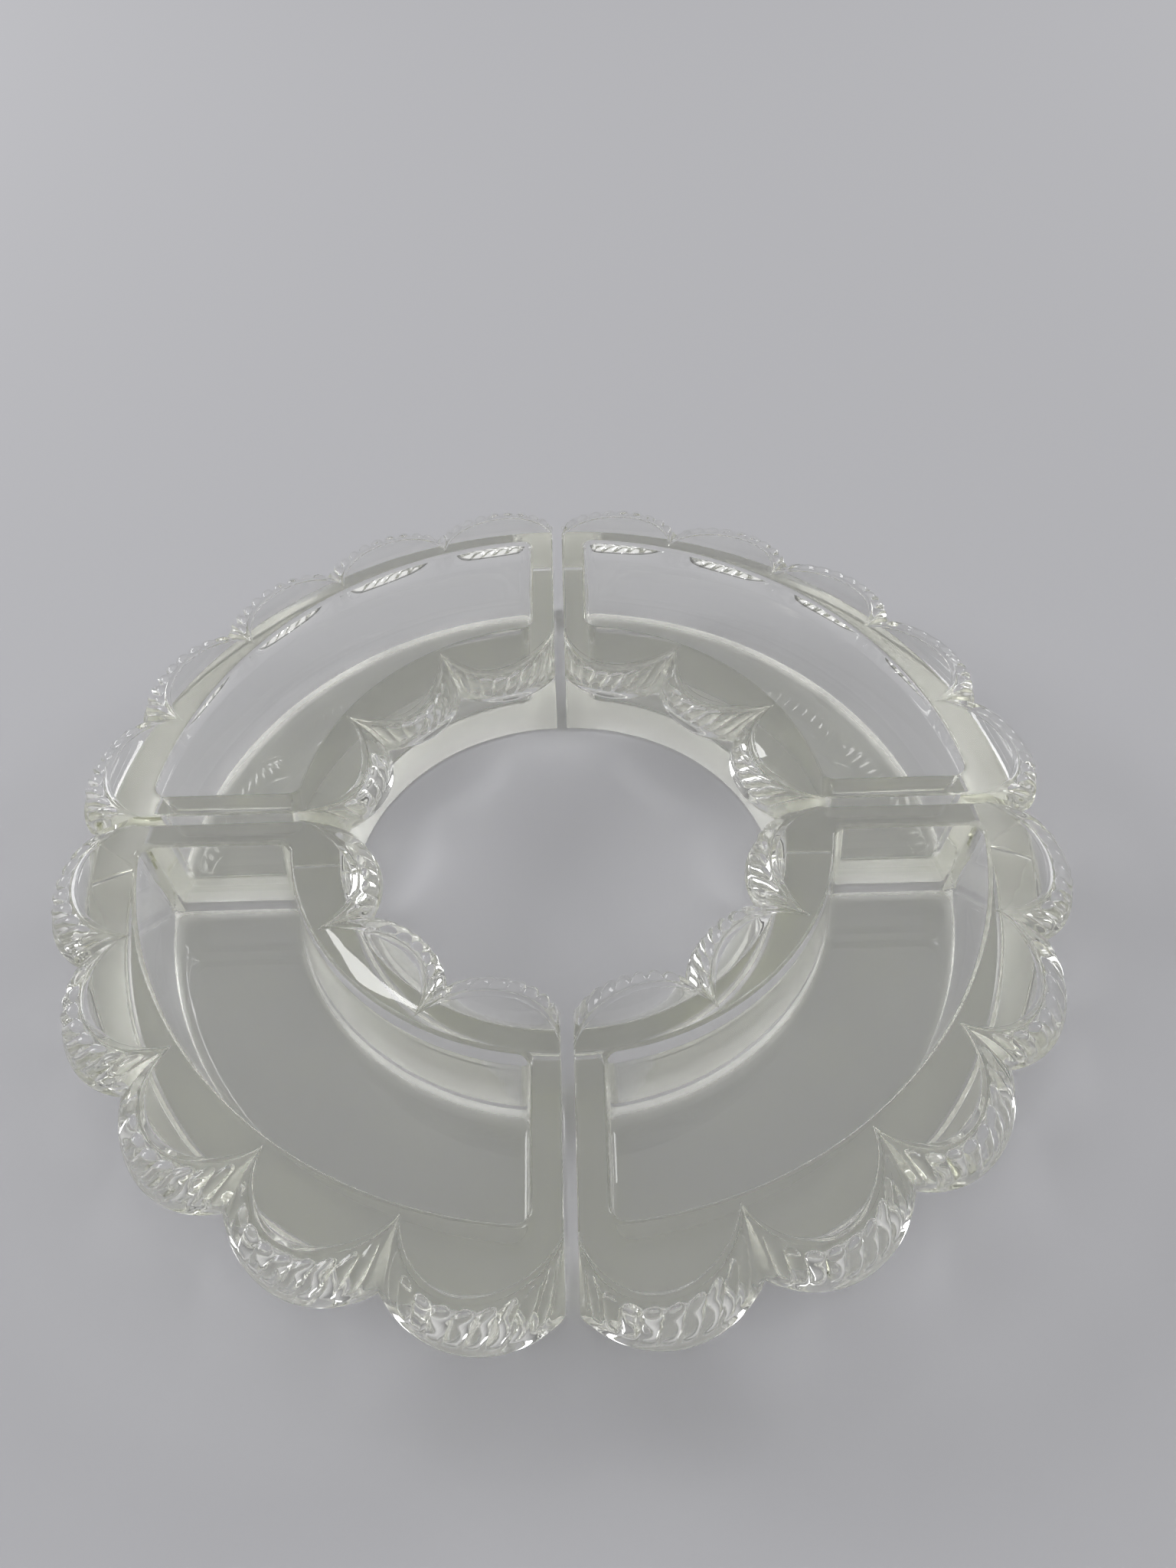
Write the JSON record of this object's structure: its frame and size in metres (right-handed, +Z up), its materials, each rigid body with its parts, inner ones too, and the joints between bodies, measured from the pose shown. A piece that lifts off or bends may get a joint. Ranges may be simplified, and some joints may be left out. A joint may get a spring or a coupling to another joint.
{
  "type": "centerpiece trough ring",
  "caption": "Ring centerpiece of clear pressed glass, set out in loose curved troughs for flowers or water, with scalloped rims, a rope edge of slanted flutes and an open middle.",
  "frame": {"origin": "middle of the ring, on the table the troughs stand on", "axes": "+Z up, -Y towards the viewer of the picture; the seams between the troughs lie along X and Y"},
  "size_m": [0.3106, 0.3106, 0.042],
  "materials": {
    "clear_glass": "fire-polished, clear with a faint green tint"
  },
  "bodies": {
    "front_left": {"front_left_trough": "clear_glass"},
    "front_right": {"front_right_trough": "clear_glass"},
    "back_left": {"back_left_trough": "clear_glass"},
    "back_right": {"back_right_trough": "clear_glass"}
  },
  "joints": [
    {"name": "front_right_slide", "type": "slide", "parent": "front_left", "child": "front_right", "axis": [0.7071, -0.7071, 0], "range_m": [0, 0.1]},
    {"name": "back_left_slide", "type": "slide", "parent": "front_left", "child": "back_left", "axis": [-0.7071, 0.7071, 0], "range_m": [0, 0.1]},
    {"name": "back_right_slide", "type": "slide", "parent": "front_left", "child": "back_right", "axis": [0.7071, 0.7071, 0], "range_m": [0, 0.1]}
  ]
}
